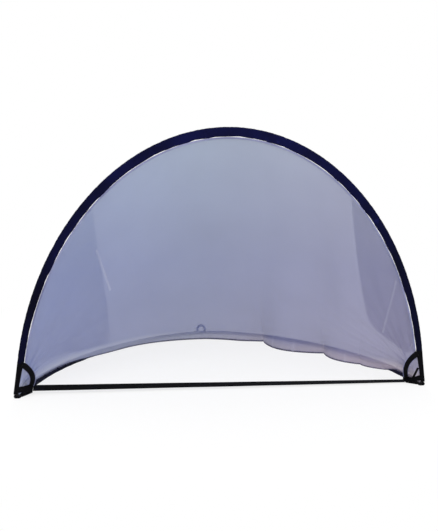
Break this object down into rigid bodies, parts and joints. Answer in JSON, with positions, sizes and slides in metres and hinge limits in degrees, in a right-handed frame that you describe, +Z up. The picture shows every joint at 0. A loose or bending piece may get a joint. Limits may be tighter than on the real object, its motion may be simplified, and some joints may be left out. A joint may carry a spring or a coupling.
{
  "type": "pop-up goal net",
  "caption": "Folding pop-up practice goal: a spring-wire arch and ground bow in fabric sleeves carry a fine net over an open mouth.",
  "frame": {"origin": "on the floor, under the middle of the footprint's bounding box", "axes": "+X to the right seen from in front of the mouth, +Y into the goal towards its back, +Z up"},
  "size_m": [1.2, 0.8049, 0.758],
  "materials": {
    "spring_steel": "satin",
    "navy_sleeve": "slightly shiny woven polyester",
    "corner_fabric": "matte coated polyester",
    "black_webbing": "matte ribbed webbing",
    "net_mesh": "matte fine knitted mesh",
    "edge_tape": "matte woven tape"
  },
  "bodies": {
    "ground_bow": {"ground_wire_left": "spring_steel", "ground_wire_right": "spring_steel", "wire_ferrule": "spring_steel", "ground_sleeve": "navy_sleeve", "corner_pocket_left": "corner_fabric", "corner_pocket_right": "corner_fabric", "corner_gusset_left": "corner_fabric", "corner_gusset_right": "corner_fabric", "corner_arc_left": "black_webbing", "corner_arc_right": "black_webbing", "closing_tie": "black_webbing", "base_strap": "black_webbing", "net": "net_mesh", "net_panel_left": "net_mesh", "net_panel_right": "net_mesh"},
    "front_arch": {"arch_wire": "spring_steel", "arch_sleeve": "navy_sleeve", "arch_cuff_left": "corner_fabric", "arch_cuff_right": "corner_fabric", "net_edge_tape": "edge_tape"},
    "peg_loop": {"rear_peg_loop": "black_webbing"}
  },
  "joints": [
    {"name": "arch_fold", "type": "hinge", "parent": "ground_bow", "child": "front_arch", "pos_m": [0, -0.397, 0.014], "axis": [-1, 0, 0], "range_deg": [0, 84], "stiffness_Nm_per_rad": 1.5, "springref_deg": -17.19, "deforming": ["net", "net_panel_left", "net_panel_right", "corner_arc_left", "corner_arc_right", "closing_tie"]},
    {"name": "peg_loop_flop", "type": "hinge", "parent": "ground_bow", "child": "peg_loop", "pos_m": [0.004, 0.39912, 0.004], "axis": [-1, 0, 0], "range_deg": [0, 80], "stiffness_Nm_per_rad": 0.003}
  ]
}
